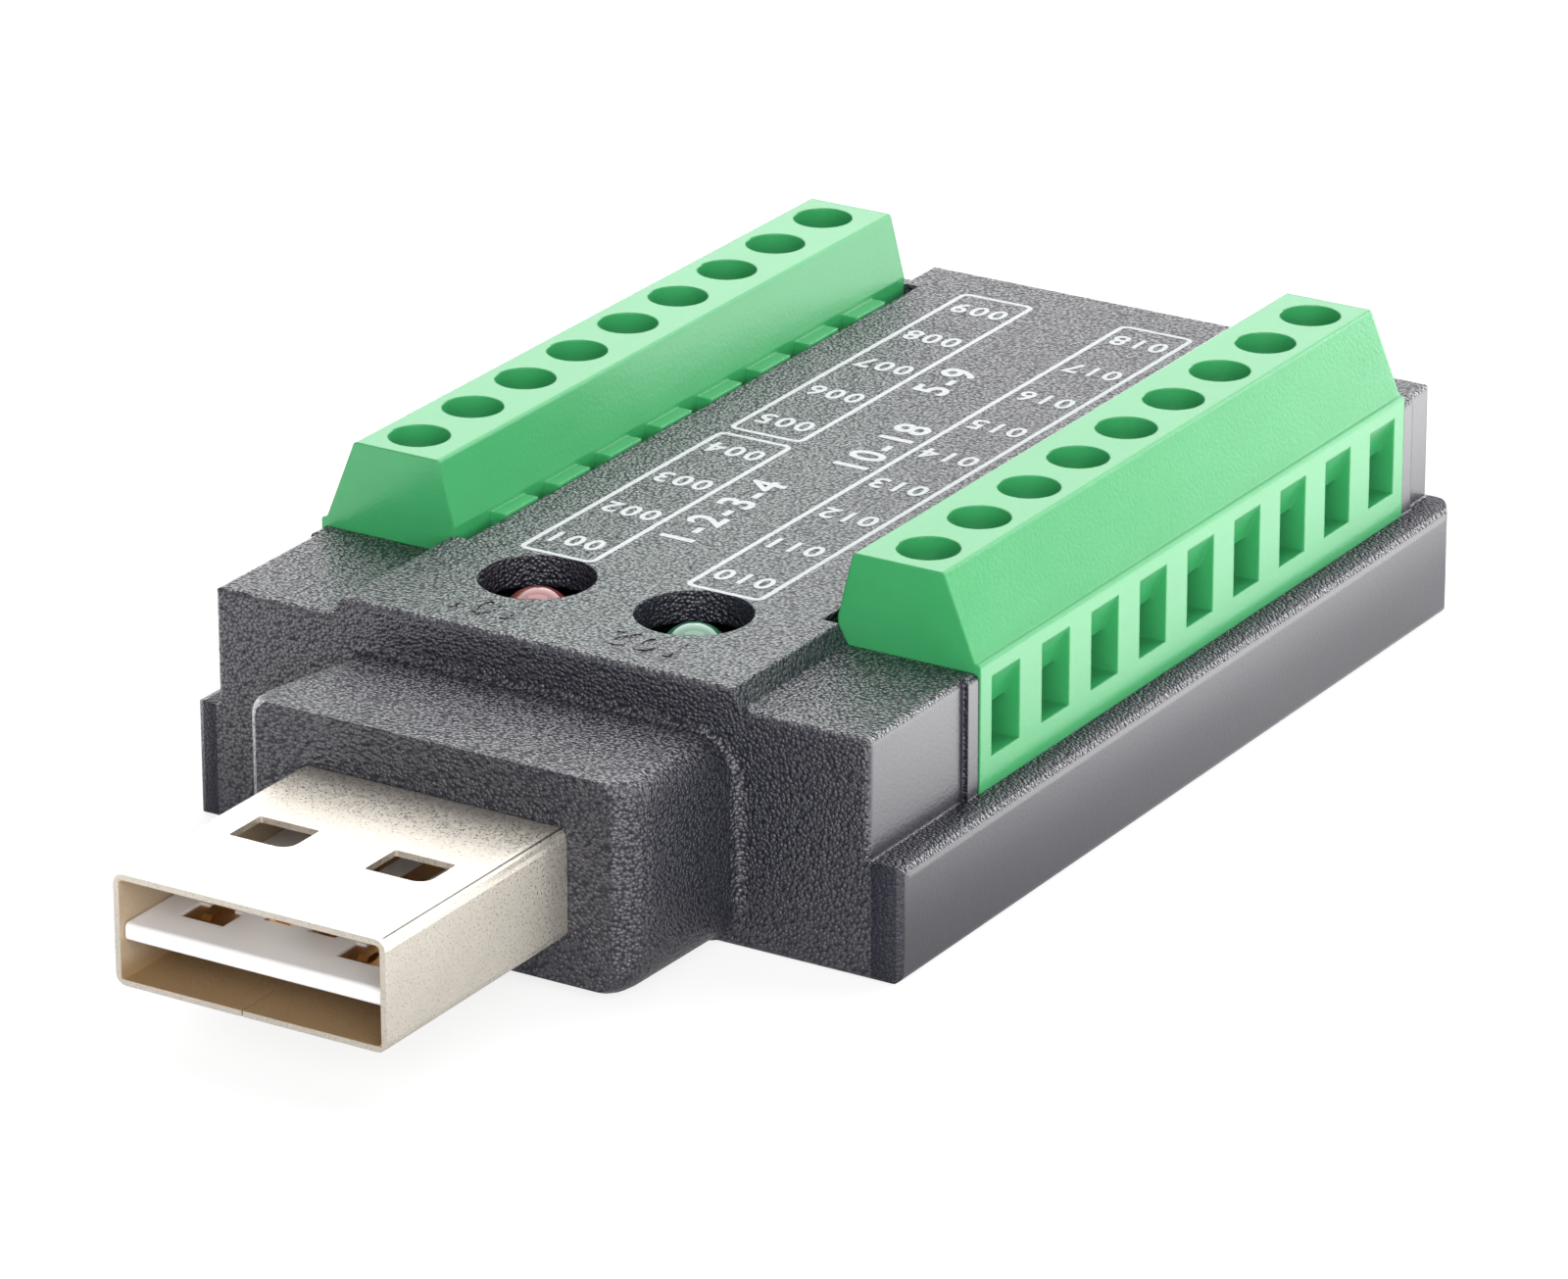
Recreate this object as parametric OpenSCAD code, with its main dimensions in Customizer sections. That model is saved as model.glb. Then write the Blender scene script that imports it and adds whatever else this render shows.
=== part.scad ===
// Adapter module with a plug at its front end, a flat moulded housing and a row of screw terminals
// along each side. Millimetres. The plug points along -Y, the top faces +Z, and the origin is
// below the middle of the whole module, on the surface that it lies on.

/* [Plug] */
// Width of the plug's metal sleeve
plug_w = 12.1; // [11.9:0.05:12.3]
// Height of the plug's metal sleeve
plug_h = 4.5; // [4.3:0.05:4.8]
// Length of the sleeve that stands out of the housing
plug_out = 12; // [11.5:0.1:13]
// Length of the sleeve inside the housing
plug_in = 6.4; // [6:0.1:7]
// Height of the sleeve's middle above the base
plug_z = 4.6; // [4.5:0.05:4.8]
// Thickness of the sleeve's sheet
sleeve_t = 0.25; // [0.2:0.05:0.35]
// Radius of the sleeve's folded edges
sleeve_r = 0.45; // [0.4:0.05:0.7]
// Width of each retention hole in the sleeve
catch_w = 2.7; // [2:0.1:3]
// Length of each retention hole in the sleeve
catch_len = 2.05; // [1.6:0.05:2.4]
// Distance from the mouth to the retention holes
catch_y = 5.05; // [4.6:0.05:5.6]
// Distance between the middles of two retention holes
catch_span = 6.1; // [5.8:0.1:6.8]
// Thickness of the tongue that carries the contacts
tongue_t = 0.7; // [0.6:0.05:0.8]
// Distance that the tongue's front edge sits behind the mouth
tongue_inset = 0.25; // [0.2:0.05:0.8]
// Width of one contact strip
contact_w = 1; // [0.8:0.05:1.1]
// Thickness of one contact strip
contact_t = 0.2; // [0.15:0.05:0.25]
// Spacing between the two inner contacts
inner_pitch = 2; // [1.8:0.1:2.2]
// Spacing between an inner contact and the outer one beside it
outer_pitch = 2.5; // [2.3:0.1:2.6]
// Distance from the mouth to the windows of the two outer contacts
outer_window_y = 1.9; // [1.5:0.05:2.2]
// Distance from the mouth to the windows of the two inner contacts
inner_window_y = 3.2; // [2.8:0.05:3.6]
// Width of the windows of the two outer contacts
outer_window_w = 2; // [1.2:0.1:2]
// Width of the windows of the two inner contacts
inner_window_w = 1.2; // [1.1:0.05:1.3]
// Length of each window along the tongue
window_len = 1.4; // [1:0.05:1.5]
// Height of a contact's bump above the tongue
bump_h = 0.08; // [0.05:0.01:0.3]

/* [Housing] */
// Distance from the last terminal to the housing's back face
row_end = 2.76; // [2.6:0.02:3.4]
// Length of the neck that holds the plug
neck_len = 7.1; // [6.8:0.1:8]
// Width of the neck's front face
neck_w = 16.06; // [15.6:0.02:16.4]
// Width of the neck behind its rounded front
neck_side_w = 17.8; // [17.2:0.1:18]
// Width of the neck where it meets the body
neck_root_w = 18.2; // [17.8:0.1:19]
// Length of the neck's rounded front
neck_nose = 1.5; // [1:0.1:2]
// Height of the neck's top at its front face
neck_top = 9.05; // [8.8:0.05:9.3]
// Height of the neck's top where it meets the body
neck_root_top = 8.55; // [8.2:0.05:9]
// Height of the neck's underside at its front face
neck_bottom = 0.5; // [0.3:0.1:0.8]
// Radius of the neck's long edges at its front face
neck_r = 0.75; // [0.4:0.05:1]
// Radius of the neck's long edges where it meets the body
neck_root_r = 2; // [1:0.1:2.1]
// Radius of the hollow fillet where the neck meets the body
neck_fillet = 0.4; // [0.2:0.05:0.5]
// Width of the body above its wide lower part
shoulder_w = 29.8; // [29:0.1:31]
// Distance that the lower part stands out on each side
skirt_step = 1.3; // [1.1:0.05:1.6]
// Height of the wide lower part of the body
skirt_h = 4.85; // [4.7:0.05:5.2]
// Distance that the lower part narrows on each side towards the base
skirt_draft = 0.1; // [0:0.02:0.4]
// Radius of the lower part's upper edges
skirt_r = 0.6; // [0.3:0.05:0.8]
// Height of the shoulders beside the raised panel
shoulder_z = 9.8; // [9.6:0.1:10.2]
// Height of the raised panel's top
panel_z = 10.6; // [10.5:0.1:11]
// Width of the slope along each side of the raised panel
panel_slope = 0.45; // [0.2:0.05:0.8]
// Thickness of the housing's walls
wall = 1.4; // [1.2:0.05:1.45]
// Thickness of the raised panel
panel_t = 1.3; // [1:0.1:1.6]
// Radius of the lower part's upright corners
corner_r = 0.9; // [0.3:0.1:1.2]
// Radius of the moulded edges
edge_r = 0.3; // [0.2:0.05:0.5]
// Radius of the edges round the base
base_r = 0.3; // [0.1:0.05:0.4]
// Diameter of the hole over each lamp
lamp_hole_d = 4.7; // [4.2:0.1:5]
// Distance between the two lamps
lamp_span = 7.2; // [6.8:0.1:7.6]
// Distance from the body's front face to the lamps
lamp_setback = 5.7; // [5:0.1:5.8]
// Thickness of the cover that closes the housing from below
cover_t = 1.4; // [1:0.1:1.5]
// Gap between parts that are put together by hand
play = 0.1; // [0.05:0.01:0.15]

/* [Circuit board] */
// Thickness of the circuit board
board_t = 1.6; // [1.4:0.1:1.8]
// Width of the board's nose inside the plug
nose_w = 10.4; // [9.6:0.1:10.8]
// Diameter of the pins that locate the board
locator_d = 1.8; // [1.4:0.1:2]

// Diameter of a lamp
lamp_d = 3; // [2.8:0.1:3.2]
// Height of a lamp's straight body above the board
lamp_h = 3.8; // [3:0.1:4]
// Width of the rim at a lamp's foot
lamp_rim = 0.4; // [0.3:0.05:0.5]
// Spacing between the two leads of a lamp
lead_span = 2.54; // [2.4:0.02:2.6]
// Width of a chip's body
chip_w = 4.4; // [4.2:0.1:4.6]
// Height of a chip's body
chip_h = 1; // [0.8:0.05:1.4]
// Width over the leads of a chip
chip_span = 6.4; // [6.2:0.1:6.6]
// Spacing between the leads of a chip
chip_pitch = 0.65; // [0.5:0.01:0.65]
// Length of a chip's body beyond its last leads, at both ends together
chip_end = 0.45; // [0.4:0.05:0.6]
// Width of a chip's lead
chip_lead = 0.24; // [0.15:0.01:0.26]
// Length of the crystal
can_len = 5; // [4.6:0.1:6]
// Width of the crystal
can_w = 3.2; // [2.8:0.1:3.5]
// Height of the crystal
can_h = 1.2; // [0.8:0.1:1.6]
// Length of a chip part
part_len = 1.6; // [1:0.1:2]
// Width of a chip part
part_w = 0.8; // [0.5:0.05:1]
// Height of a chip capacitor
capacitor_h = 0.8; // [0.5:0.05:1]
// Height of a chip resistor
resistor_h = 0.45; // [0.35:0.05:0.6]

/* [Terminals] */
// Number of terminals in each row
ways = 9; // [7:1:9]
// Spacing between terminals
pitch = 3.81; // [3.7:0.01:3.81]
// Distance from the body's front face to the terminal rows
row_setback = 7.75; // [7.5:0.05:8.2]
// Distance that the wire faces stand out of the shoulders
face_proud = 0.25; // [0.2:0.05:0.4]
// Height of a terminal block above the board
block_h = 8.75; // [8.6:0.05:9.2]
// Distance from the screws to the face where the wires go in
wire_face = 3.45; // [3.3:0.05:3.5]
// Distance from the screws to the outer edge of the block's top
roof_out = 1.8; // [1.6:0.05:2]
// Distance from the screws to the inner edge of the block's top
roof_in = 2.2; // [2:0.05:2.4]
// Distance from the screws to the block's inner face
block_in = 2.88; // [2.8:0.02:2.95]
// Distance that the block's teeth stand out towards the panel
tooth_out = 0.65; // [0.4:0.05:0.7]
// Length of each tooth along the row
tooth_len = 2.35; // [1.8:0.05:2.8]
// Height of the teeth above the raised panel
tooth_rise = 0.12; // [0.05:0.01:0.2]
// Height of the slope on the block's inner side
slope_h = 2.7; // [2:0.1:3]
// Height of the ledge above the wire openings
ledge_rise = 0.7; // [0.5:0.05:0.9]
// Depth of the ledge above the wire openings
ledge = 0.25; // [0.15:0.05:0.35]
// Diameter of the well above each screw
well_d = 2.5; // [2.45:0.05:2.8]
// Thickness of the block between two wire openings
wire_web = 1.71; // [1.65:0.02:2]
// Thickness of the block between two cages
cage_web = 0.79; // [0.75:0.02:0.9]
// Height of each wire opening inside its funnel
wire_h = 1.7; // [1.5:0.05:1.75]
// Height of each wire opening at the wire face
funnel_h = 3.3; // [2.8:0.05:3.5]
// Depth of the funnel in front of each wire opening
funnel_depth = 0.7; // [0.5:0.05:1]
// Thickness of the metal of a clamp cage
cage_t = 0.4; // [0.3:0.02:0.42]
// Length of a clamp cage along the wire
cage_len = 3; // [2.8:0.05:3.1]
// Diameter of the screw's thread
thread_d = 2; // [1.8:0.05:2]
// Lead of the screw's thread
thread_lead = 0.4; // [0.35:0.01:0.45]
// Number of turns from the open clamp to the closed one
clamp_turns = 4; // [3:0.5:4]
// Diameter of the screw's head
head_d = 2.3; // [2.2:0.05:2.35]
// Width of the driver slot in the screw's head
driver_slot = 0.45; // [0.3:0.05:0.6]

/* [Hidden] */
sides = ["left", "right"];
rows = [for (side = sides, k = [1 : ways]) str(side, "_", k)];

// How far cutting shapes run past the surfaces that they cut
over = 0.5;
// Facets of a full turn on round parts
$fn = 32;

// Widths that follow from the shoulders
skirt_w = shoulder_w + 2 * skirt_step;
screw_x = shoulder_w / 2 + face_proud - wire_face;
face_x = screw_x + wire_face;
block_x = screw_x - block_in;
tooth_x = block_x - tooth_out;
panel_lap = 0.03;
panel_w = 2 * (block_x + panel_lap);

// Places along the module
row_len = ways * pitch;
body_len = row_setback + row_len + row_end;
total_len = plug_out + neck_len + body_len;
mouth_y = -total_len / 2;
neck_y = mouth_y + plug_out;
body_y = neck_y + neck_len;
back_y = body_y + body_len;
lamp_y = body_y + lamp_setback;
row_y = body_y + row_setback;
inner_front = body_y + wall;
inner_back = back_y - wall;

// Levels inside the housing
board_top = skirt_h;
board_bottom = board_top - board_t;
roof_z = board_top + block_h;
panel_ceiling = panel_z - panel_t;
shoulder_ceiling = shoulder_z - wall;

// Half widths inside the housing
sleeve_play = play / 5;
tray_half = skirt_w / 2 - wall;
pocket_half = shoulder_w / 2 - wall;
cover_half = tray_half - play;
board_half = cover_half - play / 2;
rib_x = tooth_x - play / 2;
rib_t = 1;
core_half = rib_x - rib_t;
tunnel_rim = 0.5;
tunnel_half = plug_w / 2 + sleeve_play + tunnel_rim;
tongue_deck = plug_z - plug_h / 2 - play;

// Plug parts
sleeve_len = plug_out + plug_in;
sleeve_in_half = plug_w / 2 - sleeve_t;
sleeve_in_h = plug_h - 2 * sleeve_t;
sleeve_in_r = sleeve_r - sleeve_t;
fit_clear = 0.05;
tongue_drop = 0.2;
tongue_z = plug_z - tongue_drop;
tongue_top = tongue_z + tongue_t / 2;
tongue_low = tongue_z - tongue_t / 2;
tongue_edge = 0.2;
carrier_gap = 0.2;
tail_room = 1.7;
nose_in = 0.8;
tail_len = 1.9;
carrier_y = neck_y + carrier_gap;
carrier_back = neck_y + plug_in - tail_room;
nose_y = neck_y + plug_in - nose_in;
outer_x = inner_pitch / 2 + outer_pitch;
contact_x = [-outer_x, -inner_pitch / 2, inner_pitch / 2, outer_x];
window_y = [outer_window_y, inner_window_y, inner_window_y, outer_window_y];
window_w = [outer_window_w, inner_window_w, inner_window_w, outer_window_w];
contact_z = tongue_top - contact_t / 2 - fit_clear;

// Clamp levels, from the board up
slack = 0.05;
stop_gap = 0.15;
block_floor = 0.65;
chamber_z = board_top + block_floor;
cage_bottom = chamber_z + stop_gap;
wire_z = cage_bottom + cage_t + 2 * slack;
bar_z = wire_z + wire_h + slack;
bar_t = 0.45;
screw_tip = bar_z + bar_t + slack;
cage_travel = clamp_turns * thread_lead;
cage_nut_z = screw_tip + slack;
cage_nut_t = 0.85;
chamber_top = cage_nut_z + cage_nut_t + cage_travel + stop_gap;
seat_t = 0.35;
seat_z = chamber_top + seat_t;
head_z = seat_z + slack;
head_h = 1.05;
slot_depth = 0.58;

// Widths of the clamp parts
wire_w = pitch - wire_web;
cage_side = 0.06;
cage_end = 0.2;
chamber_w = pitch - cage_web;
chamber_half = cage_len / 2 + cage_end;
cage_half = chamber_w / 2 - cage_side;
bar_side = 0.12;
bar_half = cage_half - cage_t - bar_side;
leg_reach = 0.9;
leg_x = block_x + leg_reach;
pin_x = leg_x - bar_t / 2;
pin_w = 0.7;
pin_hole_d = 1.1;
lamp_lead_hole_d = 0.8;

// Places that the board, the cover and the housing share
post_d = 3.4;
post_inset = 2.6;
post_x = tray_half - post_inset;
post_y = [inner_front + post_inset, inner_back - post_inset - wall];
locator_drop = 0.2;
hook_y = [body_y + row_setback + pitch, back_y - row_end - 2 * pitch];
hook_len = 4;
hook_t = 0.8;
hook_catch = 0.35;
hook_clear = 0.1;
hook_z = [cover_t + 0.5, board_bottom - 0.2];

// Places of the parts on the board, spread over the room behind the lamps
chip_pins = [16, 16, 14];
board_edge = 0.5;
parts_front = lamp_y + lamp_d / 2 + lamp_rim + board_edge;
parts_back = inner_back - play - board_edge;
parts_gap = (parts_back - parts_front - len(chip_pins) * chip_span - can_w) / len(chip_pins);
parts_reach = core_half - board_edge - part_len / 2;
crystal_y = parts_back - can_w / 2;
function chip_y(k) = parts_front + chip_span / 2 + k * (chip_span + parts_gap);
function gap_y(k) = chip_y(k) + (chip_span + parts_gap) / 2;

// Outline with rounded corners. Each corner is [x, y, radius], in turning order.
function unit(v) = v / norm(v);
function corner_points(p, a, b, r, steps) =
    let (
        u = unit(a - p),
        v = unit(b - p),
        half = acos(max(-1, min(1, u * v))) / 2,
        c = p + unit(u + v) * r / sin(half),
        s = p + u * r / tan(half) - c,
        e = p + v * r / tan(half) - c,
        from = atan2(s.y, s.x),
        turn = atan2(e.y, e.x) - from,
        sweep = turn > 180 ? turn - 360 : turn < -180 ? turn + 360 : turn
    )
    [for (i = [0 : steps]) c + r * [cos(from + sweep * i / steps), sin(from + sweep * i / steps)]];
function rounded(corners, steps = 4) = [
    for (i = [0 : len(corners) - 1])
        let (
            n = len(corners),
            p = corners[i],
            a = corners[(i + n - 1) % n],
            b = corners[(i + 1) % n]
        )
        each (p.z > 0 ? corner_points([p.x, p.y], [a.x, a.y], [b.x, b.y], p.z, steps) : [[p.x, p.y]])
];
// Rectangle from low to high with the corner radii [low pair, high pair]
function box_outline(low, high, r, steps = 4) = rounded([
    [low.x, low.y, r[0]], [high.x, low.y, r[0]],
    [high.x, high.y, r[1]], [low.x, high.y, r[1]]
], steps);
// Strip of even thickness along a line of points
function strip(points, t) = concat(
    [for (p = points) [p.x, p.y + t / 2]],
    [for (i = [len(points) - 1 : -1 : 0]) [points[i].x, points[i].y - t / 2]]
);

// Box between two corners
module between(low, high) {
    translate(low) cube(high - low);
}
// An outline seen from the front, carried along Y
module along_y(y0, y1) {
    translate([0, y1, 0]) rotate([90, 0, 0]) linear_extrude(y1 - y0) children();
}
// An outline seen from the right side, carried along X
module along_x(x0, x1) {
    translate([x0, 0, 0]) rotate([90, 0, 90]) linear_extrude(x1 - x0) children();
}
// The same shape on the right and on the left
module both_sides() {
    children();
    mirror([1, 0, 0]) children();
}
// A shape that is modelled on the right and belongs to one side
module on_side(side) {
    mirror([side == "left" ? 1 : 0, 0, 0]) children();
}

// Moulded block across the module: rounded upright corners, and rounded edges below and above
module moulded(half, y0, y1, z1, bottom_r, top_r, upright_r) {
    intersection() {
        linear_extrude(z1)
            polygon(box_outline([-half, y0], [half, y1], [upright_r, upright_r]));
        along_y(y0 - over, y1 + over)
            polygon(box_outline([-half, 0], [half, z1], [bottom_r, top_r]));
        along_x(-half - over, half + over)
            polygon(box_outline([y0, 0], [y1, z1], [bottom_r, top_r]));
    }
}

// The wide lower part, which narrows towards the base
module skirt_form() {
    half = skirt_w / 2;
    low = half - skirt_draft;
    intersection() {
        moulded(half, body_y, back_y, skirt_h, base_r, 0, corner_r);
        along_y(body_y - over, back_y + over)
            polygon(rounded([
                [-low, 0, base_r], [low, 0, base_r],
                [half, skirt_h, skirt_r], [-half, skirt_h, skirt_r]
            ]));
    }
}

// The raised panel with its sloping sides, standing on the shoulders
module panel_form() {
    half = panel_w / 2;
    foot = half + panel_slope;
    intersection() {
        along_y(body_y, back_y)
            polygon(rounded([
                [-foot, shoulder_ceiling, 0], [foot, shoulder_ceiling, 0], [foot, shoulder_z, 0],
                [half, panel_z, edge_r / 2], [-half, panel_z, edge_r / 2], [-foot, shoulder_z, 0]
            ]));
        along_x(-foot - over, foot + over)
            polygon(box_outline(
                [body_y, shoulder_ceiling], [back_y, panel_z], [0, edge_r]
            ));
    }
}

// How much the neck's rounded front is drawn in, from 1 at its face to 0 behind it
function neck_draw(y) = pow(max(0, 1 - y / neck_nose), 2);
function neck_half(y) = y < neck_nose
    ? (neck_side_w - (neck_side_w - neck_w) * neck_draw(y)) / 2
    : (neck_side_w + (neck_root_w - neck_side_w) * (y - neck_nose) / (neck_len - neck_nose)) / 2;
// Outline of the neck at a distance from its face, swelled by grow
function neck_outline(y, grow) =
    let (
        at = min(1, y / neck_len),
        half = neck_half(min(y, neck_len)) + grow,
        top = neck_top + (neck_root_top - neck_top) * at + grow,
        upper_r = neck_r + (neck_root_r - neck_r) * at + grow,
        lower_r = neck_root_r - (neck_root_r - neck_r) * neck_draw(y)
    )
    box_outline([-half, neck_bottom * neck_draw(y)], [half, top], [lower_r, upper_r], 8);
module neck_slice(y, grow = 0) {
    thin = 0.01;
    along_y(neck_y + y, neck_y + y + thin) polygon(neck_outline(y, grow));
}

// The neck: a boss with a rounded front, and a hollow fillet where it meets the body
module neck_form() {
    hull() {
        for (share = [0, 0.15, 0.35, 0.6, 1]) neck_slice(neck_nose * share);
        neck_slice(neck_len + wall / 2);
    }
    steps = 3;
    for (i = [1 : steps])
        hull() {
            neck_slice(neck_len - fillet_back(i - 1, steps), fillet_out(i - 1, steps));
            neck_slice(neck_len - fillet_back(i, steps), fillet_out(i, steps));
        }
}
// Points of the hollow fillet: how far before the body, and how far out of the neck's side
function fillet_back(i, steps) = neck_fillet * (1 - sin(90 * i / steps));
function fillet_out(i, steps) = neck_fillet * (1 - cos(90 * i / steps));

// The narrow frame beside each end of a terminal row, proud of the housing's side
module row_frames() {
    frame_w = 0.85;
    depth = 2;
    half = face_x - face_proud / 6;
    both_sides()
        for (y = [row_y - frame_w, row_y + row_len])
            intersection() {
                between([half - depth, y, skirt_h - over], [half, y + frame_w, shoulder_z]);
                along_y(y - over, y + frame_w + over)
                    polygon(box_outline([0, 0], [half, shoulder_z], [0, edge_r]));
            }
}

// The opening that a terminal row fills
module row_opening() {
    gap = play / 2;
    between([rib_x, row_y - gap, board_top], [skirt_w, row_y + row_len + gap, roof_z + over]);
}

// The space under the neck, which the cover's tongue closes
module neck_tunnel() {
    between(
        [-tunnel_half, neck_y + wall, -over],
        [tunnel_half, body_y + wall + over, plug_z]
    );
}

// Cavities inside the housing, open to the base
module housing_cavities() {
    seat_half = plug_w / 2 + sleeve_play;
    seat_h = plug_h / 2 + sleeve_play;
    // Tray for the board and the cover
    between([-tray_half, inner_front, -over], [tray_half, inner_back, board_top]);
    // Room under the panel
    between([-core_half, inner_front, 0], [core_half, inner_back, panel_ceiling]);
    // Pockets under the front shoulders
    both_sides()
        between([rib_x, inner_front, 0], [pocket_half, row_y - wall, shoulder_ceiling]);
    neck_tunnel();
    // Seat of the plug's sleeve, through the neck's front wall
    along_y(neck_y - over, inner_front + over)
        polygon(box_outline(
            [-seat_half, plug_z - seat_h], [seat_half, plug_z + seat_h], [sleeve_r, sleeve_r]
        ));
}

// Grooves in the tray's walls that the cover's hooks snap into
module hook_grooves() {
    reach = hook_len / 2 + 3 * hook_clear;
    both_sides()
        for (y = hook_y)
            between(
                [tray_half - over, y - reach, hook_z[0] - hook_clear],
                [tray_half + hook_catch + hook_clear, y + reach, hook_z[1] + hook_clear]
            );
}

module upper_housing() {
    press_d = post_d * 0.7;
    color("dimgray")
    difference() {
        union() {
            difference() {
                union() {
                    skirt_form();
                    moulded(shoulder_w / 2, body_y, back_y, shoulder_z, base_r, edge_r, edge_r);
                    panel_form();
                    neck_form();
                    row_frames();
                }
                housing_cavities();
            }
            // Posts that press the board down onto the cover's posts
            both_sides()
                translate([post_x - post_d / 4, post_y[0], board_top])
                cylinder(d = press_d, h = shoulder_ceiling - board_top + over);
        }
        both_sides() row_opening();
        hook_grooves();
        both_sides()
            translate([lamp_span / 2, lamp_y, 0]) cylinder(d = lamp_hole_d, h = panel_z + over);
    }
}

// Snap hook on the cover's edge, seen from the front
module cover_hook(y) {
    nose_h = 0.1;
    nose_t = 0.2;
    inner = cover_half - hook_t;
    tip = cover_half + hook_catch;
    along_y(y - hook_len / 2, y + hook_len / 2)
        polygon([
            [inner, 0], [cover_half, 0], [cover_half, hook_z[0]],
            [tip, hook_z[0] + nose_h], [tip, hook_z[0] + nose_h + nose_t],
            [cover_half - nose_h, hook_z[1]], [inner, hook_z[1]]
        ]);
}

module bottom_cover() {
    front = inner_front + play;
    back = inner_back - play;
    tongue_y = neck_y + wall + play;
    tongue_half = tunnel_half - play;
    rim = 3;
    hollow = 0.3;
    hollow_r = 1.5;
    color("dimgray")
    difference() {
        union() {
            between([-cover_half, front, 0], [cover_half, back, cover_t]);
            // Tongue that closes the neck below the plug
            between([-tongue_half, tongue_y, 0], [tongue_half, front + over, tongue_deck]);
            // Posts under the board, with the pins that locate it
            both_sides()
                for (y = post_y)
                    translate([post_x, y, 0]) {
                        cylinder(d = post_d, h = board_bottom);
                        cylinder(d = locator_d, h = board_top - locator_drop);
                    }
            // Snap hooks along both sides
            both_sides()
                for (y = hook_y) cover_hook(y);
        }
        // Shallow hollow under the middle, so that the module rests on its rim
        translate([0, 0, -over])
            linear_extrude(over + hollow)
            polygon(box_outline(
                [-cover_half + rim, front + rim], [cover_half - rim, back - rim],
                [hollow_r, hollow_r]
            ));
    }
}

// Hole through the board
module board_hole(x, y, d) {
    translate([x, y, board_bottom - over]) cylinder(d = d, h = board_t + 2 * over);
}

module circuit_board() {
    front = inner_front + play;
    back = inner_back - play;
    half = nose_w / 2;
    board_r = 0.6;
    root_r = 0.4;
    nose_r = 0.3;
    color("darkgreen")
    difference() {
        translate([0, 0, board_bottom]) linear_extrude(board_t)
            polygon(rounded([
                [-board_half, front, board_r], [-half, front, root_r],
                [-half, nose_y, nose_r], [half, nose_y, nose_r],
                [half, front, root_r], [board_half, front, board_r],
                [board_half, back, board_r], [-board_half, back, board_r]
            ]));
        both_sides() {
            for (y = post_y) board_hole(post_x, y, locator_d + 2 * play);
            for (k = [1 : ways]) board_hole(pin_x, way_y(k), pin_hole_d);
        }
        for (side = [-1, 1], lead = [-1, 1])
            board_hole((side * lamp_span + lead * lead_span) / 2, lamp_y, lamp_lead_hole_d);
    }
}

// Retention hole with one rounded corner, seen from above
module catch_hole(side) {
    x = side * catch_span / 2;
    low = [x - catch_w / 2, mouth_y + catch_y];
    high = low + [catch_w, catch_len];
    wide_r = 0.6;
    fine_r = 0.1;
    linear_extrude(plug_z + plug_h + over)
        polygon(rounded([
            [low.x, low.y, fine_r], [high.x, low.y, wide_r],
            [high.x, high.y, fine_r], [low.x, high.y, fine_r]
        ]));
}

// Seam along the folded sleeve's underside, with two keys that lock its edges together
module sleeve_seam() {
    gap = 0.06;
    low = plug_z - plug_h / 2 - over;
    high = plug_z - plug_h / 2 + sleeve_t + fit_clear;
    left = -0.4;
    right = 0.8;
    key_len = 2;
    near_key = 3;
    far_key = 9;
    keys = [mouth_y + near_key, mouth_y + far_key];
    stops = [for (y = keys) each [y, y + key_len]];
    // Straight runs before, between and behind the keys
    for (i = [0 : 2 : len(stops)])
        between(
            [left, i == 0 ? mouth_y - over : stops[i - 1], low],
            [left + gap, i == len(stops) ? mouth_y + sleeve_len + over : stops[i], high]
        );
    // Three sides of each key
    for (y = keys) {
        between([left, y - gap, low], [right, y, high]);
        between([left, y + key_len, low], [right, y + key_len + gap, high]);
        between([right - gap, y - gap, low], [right, y + key_len + gap, high]);
    }
}

module usb_sleeve() {
    half = plug_w / 2;
    color("silver")
    difference() {
        along_y(mouth_y, mouth_y + sleeve_len)
            polygon(box_outline(
                [-half, plug_z - plug_h / 2], [half, plug_z + plug_h / 2], [sleeve_r, sleeve_r]
            ));
        along_y(mouth_y - over, mouth_y + sleeve_len + over)
            polygon(box_outline(
                [-sleeve_in_half, plug_z - sleeve_in_h / 2],
                [sleeve_in_half, plug_z + sleeve_in_h / 2],
                [sleeve_in_r, sleeve_in_r]
            ));
        catch_hole(-1);
        catch_hole(1);
        sleeve_seam();
    }
}

module usb_insulator() {
    half = sleeve_in_half - fit_clear;
    bottom = plug_z - sleeve_in_h / 2 + fit_clear;
    top = plug_z + sleeve_in_h / 2 - fit_clear;
    groove = contact_w + 2 * fit_clear;
    slot_low = contact_z - contact_t / 2 - fit_clear;
    slot_top = contact_z + contact_t / 2 + fit_clear;
    color("white")
    difference() {
        union() {
            // Tongue, seen from the side, with its front edge rounded
            along_x(-half, half)
                polygon(rounded([
                    [mouth_y + tongue_inset, tongue_low, tongue_edge],
                    [carrier_y + over, tongue_low, 0],
                    [carrier_y + over, tongue_top, 0],
                    [mouth_y + tongue_inset, tongue_top, tongue_edge]
                ]));
            between([-half, carrier_y, bottom], [half, carrier_back, top]);
        }
        for (i = [0 : 3])
            let (x = contact_x[i], y = mouth_y + window_y[i], wide = window_w[i] / 2) {
                // Groove for the contact, along the tongue and through the carrier
                between(
                    [x - groove / 2, y, slot_low], [x + groove / 2, carrier_y, tongue_top + over]
                );
                between(
                    [x - groove / 2, carrier_y - over, slot_low],
                    [x + groove / 2, carrier_back + over, slot_top]
                );
                // Window in which the contact's bump can spring
                between(
                    [x - wide, y, tongue_low - over], [x + wide, y + window_len, tongue_top + over]
                );
            }
    }
}

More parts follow.
